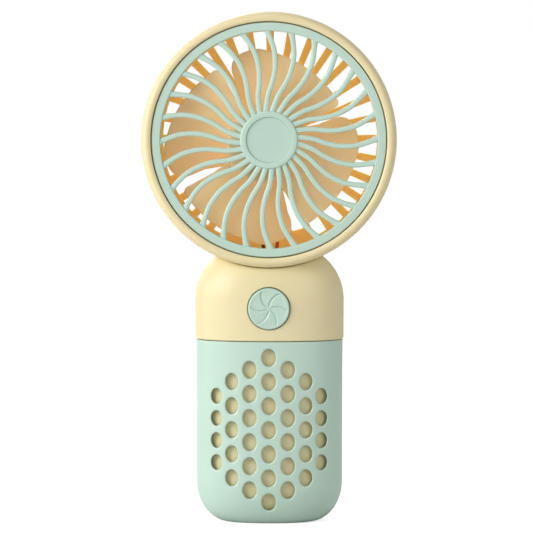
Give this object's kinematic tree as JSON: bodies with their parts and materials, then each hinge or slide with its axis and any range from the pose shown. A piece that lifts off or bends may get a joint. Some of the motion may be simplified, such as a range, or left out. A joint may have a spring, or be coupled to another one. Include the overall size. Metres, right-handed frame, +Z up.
{
  "type": "handheld fan",
  "caption": "Handheld rechargeable fan: round caged head with a four-blade impeller on a domed oval handle with a push button and a perforated sleeve.",
  "frame": {"origin": "middle of the flat foot, in the middle of the depth", "axes": "+Z up from the foot to the head, the front grille and the button face -Y, +X to the right seen from the front"},
  "size_m": [0.0948, 0.036, 0.1912],
  "materials": {
    "mint_plastic": "satin moulded plastic",
    "yellow_plastic": "satin moulded plastic",
    "honey_plastic": "satin moulded plastic",
    "peach_plastic": "satin moulded plastic",
    "black_plastic": "satin",
    "clear_plastic": "clear, polished",
    "steel": "bright",
    "ferrite": "sintered",
    "bronze": "sintered",
    "copper": "enamelled wire",
    "circuit_board": "solder mask",
    "cell_wrap": "shrink wrap on a metal can",
    "foam": "open foam",
    "red_sheath": "satin",
    "black_sheath": "satin"
  },
  "bodies": {
    "housing": {"head_front_ring": "yellow_plastic", "head_rear_shell": "yellow_plastic", "front_grille": "mint_plastic", "grille_badge": "mint_plastic", "rear_grille": "honey_plastic", "sleeve_bearing": "bronze", "bearing_tube": "bronze", "stator_core": "steel", "stator_coil_1": "copper", "stator_coil_2": "copper", "stator_coil_3": "copper", "stator_coil_4": "copper", "stator_coil_5": "copper", "stator_coil_6": "copper", "motor_board": "circuit_board", "motor_screw_1": "steel", "motor_screw_2": "steel", "motor_screw_3": "steel", "handle_front_shell": "yellow_plastic", "handle_rear_shell": "yellow_plastic", "lower_sleeve": "mint_plastic", "shell_screw_1": "steel", "shell_screw_2": "steel", "shell_screw_3": "steel", "shell_screw_4": "steel", "switch_body": "black_plastic", "main_board": "circuit_board", "board_screw_1": "steel", "board_screw_2": "steel", "controller_chip": "black_plastic", "boost_inductor": "ferrite", "usb_port_shell": "steel", "usb_port_tongue": "black_plastic", "charge_led": "clear_plastic", "light_pipe": "clear_plastic", "battery_cell": "cell_wrap", "battery_pad": "foam", "motor_lead_red": "red_sheath", "motor_lead_black": "black_sheath", "battery_lead_red": "red_sheath", "battery_lead_black": "black_sheath"},
    "rotor": {"impeller": "peach_plastic", "rotor_yoke": "steel", "rotor_magnet": "ferrite", "motor_shaft": "steel", "shaft_clip": "black_plastic"},
    "button": {"button_cap": "mint_plastic"},
    "plunger": {"switch_plunger": "black_plastic"}
  },
  "joints": [
    {"name": "rotor_spin", "type": "hinge", "parent": "housing", "child": "rotor", "pos_m": [-0.00295, 0, 0.14095], "axis": [0, 1, 0], "continuous": true},
    {"name": "button_press", "type": "slide", "parent": "housing", "child": "button", "axis": [0, 1, 0], "range_m": [0, 0.0008], "stiffness_N_per_m": 1500},
    {"name": "plunger_press", "type": "slide", "parent": "housing", "child": "plunger", "axis": [0, 1, 0], "range_m": [0, 0.0008]}
  ],
  "couplings": [
    {"joint": "plunger_press", "follows": "button_press", "ratio": 1}
  ]
}
